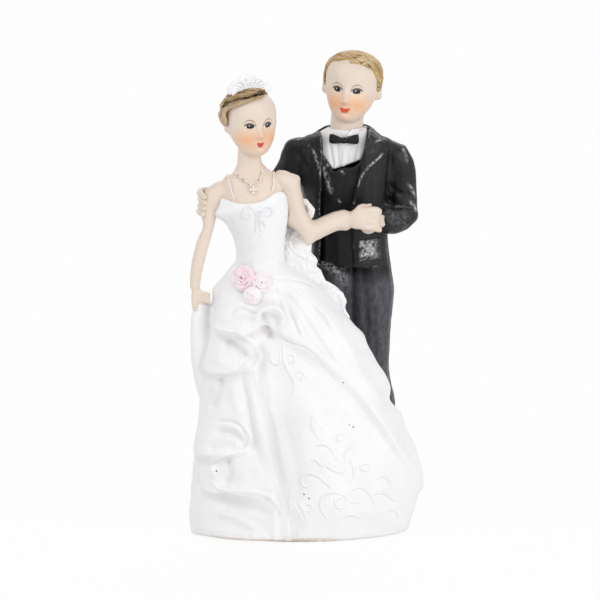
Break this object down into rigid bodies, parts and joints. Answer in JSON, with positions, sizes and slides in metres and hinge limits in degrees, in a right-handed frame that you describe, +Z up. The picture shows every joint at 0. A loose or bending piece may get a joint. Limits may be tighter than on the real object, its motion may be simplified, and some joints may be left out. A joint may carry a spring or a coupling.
{
  "type": "wedding cake topper",
  "caption": "Painted resin bride and groom on a low oval base: a flounced gown with overskirt, veil and tiara beside a dark suit, made to stand on a cake.",
  "frame": {"origin": "on the resting surface, under the middle of the bounding box", "axes": "+Z up; the couple faces -Y; +X is to the right of someone looking at their faces"},
  "size_m": [0.0544, 0.0444, 0.1089],
  "materials": {
    "base_paint": "bare cream resin under worn white paint",
    "skin_paint": "satin flesh paint with an airbrushed blush",
    "hair_paint": "golden-brown paint, darker in the grooves",
    "suit_paint": "black satin paint, rubbed pale on the edges",
    "shirt_paint": "matte white paint",
    "gown_paint": "satin white paint",
    "rose_paint": "white paint tinted pink",
    "lace_paint": "white paint with grey in the hollows",
    "tiara_paint": "pearly white paint"
  },
  "bodies": {
    "root": {"base_plinth": "base_paint", "bride_bodice": "gown_paint", "bride_bun": "hair_paint", "bride_edge_roll": "gown_paint", "bride_flounce_hem": "gown_paint", "bride_flounce_lower": "gown_paint", "bride_flounce_middle": "gown_paint", "bride_flounce_upper": "gown_paint", "bride_hair": "hair_paint", "bride_head": "skin_paint", "bride_held_fold": "gown_paint", "bride_left_arm": "skin_paint", "bride_left_hand": "skin_paint", "bride_left_strap": "gown_paint", "bride_long_pleat": "gown_paint", "bride_necklace": "lace_paint", "bride_overskirt": "gown_paint", "bride_pendant": "lace_paint", "bride_right_arm": "skin_paint", "bride_right_hand": "skin_paint", "bride_right_strap": "gown_paint", "bride_skirt": "gown_paint", "bride_swag": "gown_paint", "bride_tiara": "tiara_paint", "bride_torso": "skin_paint", "bride_veil": "lace_paint", "groom_bow_tie": "suit_paint", "groom_collar": "shirt_paint", "groom_hair": "hair_paint", "groom_head": "skin_paint", "groom_jacket": "suit_paint", "groom_left_hand": "skin_paint", "groom_left_lapel": "suit_paint", "groom_left_shoe": "suit_paint", "groom_left_sleeve": "suit_paint", "groom_pocket_flap": "suit_paint", "groom_right_hand": "skin_paint", "groom_right_lapel": "suit_paint", "groom_right_shoe": "suit_paint", "groom_right_sleeve": "suit_paint", "groom_shirt": "shirt_paint", "groom_trousers": "suit_paint", "groom_waistcoat": "suit_paint", "rose_large": "rose_paint", "rose_small": "rose_paint", "rosebud": "rose_paint"}
  },
  "joints": []
}
